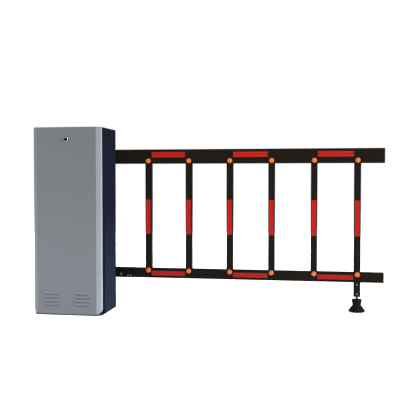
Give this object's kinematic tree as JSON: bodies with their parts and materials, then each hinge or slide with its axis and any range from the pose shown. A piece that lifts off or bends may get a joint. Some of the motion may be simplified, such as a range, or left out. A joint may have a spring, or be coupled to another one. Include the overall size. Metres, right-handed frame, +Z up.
{
  "type": "parking barrier gate",
  "caption": "Parking barrier gate: steel cabinet whose gearmotor and springs lift a folding fence boom with red reflector strips, orange pivot caps and a rubber-footed leg.",
  "frame": {"origin": "on the floor at the middle of the cabinet's base plate", "axes": "+X along the lowered boom, +Y from the cabinet's cover to its back, +Z up"},
  "size_m": [1.8575, 0.397, 1],
  "materials": {
    "cabinet_paint": "satin",
    "cover_paint": "satin",
    "base_black": "satin",
    "zinc_steel": "satin",
    "cast_metal": "matte",
    "motor_alu": "satin",
    "rail_coat": "satin",
    "red_film": "gloss",
    "orange_plastic": "gloss",
    "black_plastic": "matte",
    "grey_plastic": "matte",
    "seal_rubber": "matte",
    "lock_chrome": "polished",
    "spring_steel": "satin"
  },
  "bodies": {
    "cabinet": {"base_plate": "base_black", "cabinet_housing": "cabinet_paint", "cover_seal": "seal_rubber", "cover_keeper": "zinc_steel", "chassis_frame": "zinc_steel", "rear_bearing": "base_black", "front_bearing": "cast_metal", "stop_buffers": "seal_rubber", "gearbox_housing": "cast_metal", "motor_housing": "motor_alu", "motor_fan_cover": "black_plastic", "limit_switches": "black_plastic", "spring_anchor": "zinc_steel", "controller_box": "grey_plastic", "controller_lid": "grey_plastic", "din_rail": "zinc_steel", "terminal_blocks": "grey_plastic", "circuit_breaker": "black_plastic", "lower_pivot_bracket": "base_black", "lower_pivot_nut": "zinc_steel"},
    "boom": {"main_shaft": "zinc_steel", "rocker_arm": "zinc_steel", "limit_cam": "black_plastic", "boom_holder": "base_black", "clamp_plate": "base_black", "clamp_bolts": "zinc_steel", "boom_rail": "rail_coat", "boom_end_caps": "black_plastic", "boom_reflectors": "red_film", "boom_pivot_bolts": "zinc_steel", "boom_pivot_caps": "orange_plastic"},
    "lower_rail_body": {"lower_rail": "rail_coat", "lower_rail_end_cap": "black_plastic", "lower_rail_reflectors": "red_film", "lower_pivot_bolts": "zinc_steel", "lower_pivot_caps": "orange_plastic", "lower_rail_bracket": "base_black", "lower_rail_screws": "zinc_steel", "leg_tube": "rail_coat", "leg_insert": "black_plastic"},
    "foot": {"foot_rod": "zinc_steel", "rubber_foot": "seal_rubber"},
    "cover": {"front_cover": "cover_paint", "cover_hooks": "zinc_steel", "lock_barrel": "lock_chrome"},
    "lock": {"lock_plug": "lock_chrome", "lock_cam": "zinc_steel"},
    "springs": {"balance_springs": "spring_steel"},
    "bar_1_body": {"bar_1": "rail_coat", "bar_1_reflectors": "red_film"},
    "bar_2_body": {"bar_2": "rail_coat", "bar_2_reflectors": "red_film"},
    "bar_3_body": {"bar_3": "rail_coat", "bar_3_reflectors": "red_film"},
    "bar_4_body": {"bar_4": "rail_coat", "bar_4_reflectors": "red_film"},
    "bar_5_body": {"bar_5": "rail_coat", "bar_5_reflectors": "red_film"},
    "bar_6_body": {"bar_6": "rail_coat", "bar_6_reflectors": "red_film"}
  },
  "joints": [
    {"name": "boom_lift", "type": "hinge", "parent": "cabinet", "child": "boom", "pos_m": [0, 0.2, 0.852], "axis": [0, -1, 0], "range_deg": [0, 80]},
    {"name": "bar_1_fold", "type": "hinge", "parent": "boom", "child": "bar_1_body", "pos_m": [0.367, 0.2, 0.827], "axis": [0, -1, 0], "range_deg": [-80, 0]},
    {"name": "bar_2_fold", "type": "hinge", "parent": "boom", "child": "bar_2_body", "pos_m": [0.599, 0.2, 0.827], "axis": [0, -1, 0], "range_deg": [-80, 0]},
    {"name": "bar_3_fold", "type": "hinge", "parent": "boom", "child": "bar_3_body", "pos_m": [0.831, 0.2, 0.827], "axis": [0, -1, 0], "range_deg": [-80, 0]},
    {"name": "bar_4_fold", "type": "hinge", "parent": "boom", "child": "bar_4_body", "pos_m": [1.063, 0.2, 0.827], "axis": [0, -1, 0], "range_deg": [-80, 0]},
    {"name": "bar_5_fold", "type": "hinge", "parent": "boom", "child": "bar_5_body", "pos_m": [1.295, 0.2, 0.827], "axis": [0, -1, 0], "range_deg": [-80, 0]},
    {"name": "bar_6_fold", "type": "hinge", "parent": "boom", "child": "bar_6_body", "pos_m": [1.527, 0.2, 0.827], "axis": [0, -1, 0], "range_deg": [-80, 0]},
    {"name": "lower_rail_lift", "type": "hinge", "parent": "cabinet", "child": "lower_rail_body", "pos_m": [0, 0.2, 0.232], "axis": [0, -1, 0], "range_deg": [0, 80]},
    {"name": "spring_sway", "type": "hinge", "parent": "cabinet", "child": "springs", "pos_m": [-0.08, 0.09, 0.292], "axis": [0, -1, 0], "range_deg": [-8, 0], "deforming": ["balance_springs"]},
    {"name": "foot_adjust", "type": "slide", "parent": "lower_rail_body", "child": "foot", "axis": [0, 0, 1], "range_m": [-0.015, 0.012]},
    {"name": "cover_tilt", "type": "hinge", "parent": "cabinet", "child": "cover", "pos_m": [0, -0.145, 0.0063], "axis": [1, 0, 0], "range_deg": [0, 20]},
    {"name": "lock_turn", "type": "hinge", "parent": "cover", "child": "lock", "pos_m": [0, -0.145, 0.935], "axis": [0, -1, 0], "range_deg": [0, 90]}
  ],
  "couplings": [
    {"joint": "bar_1_fold", "follows": "boom_lift", "ratio": -1},
    {"joint": "bar_2_fold", "follows": "boom_lift", "ratio": -1},
    {"joint": "bar_3_fold", "follows": "boom_lift", "ratio": -1},
    {"joint": "bar_4_fold", "follows": "boom_lift", "ratio": -1},
    {"joint": "bar_5_fold", "follows": "boom_lift", "ratio": -1},
    {"joint": "bar_6_fold", "follows": "boom_lift", "ratio": -1},
    {"joint": "lower_rail_lift", "follows": "boom_lift", "ratio": 1},
    {"joint": "spring_sway", "follows": "boom_lift", "ratio": -0.0978}
  ]
}
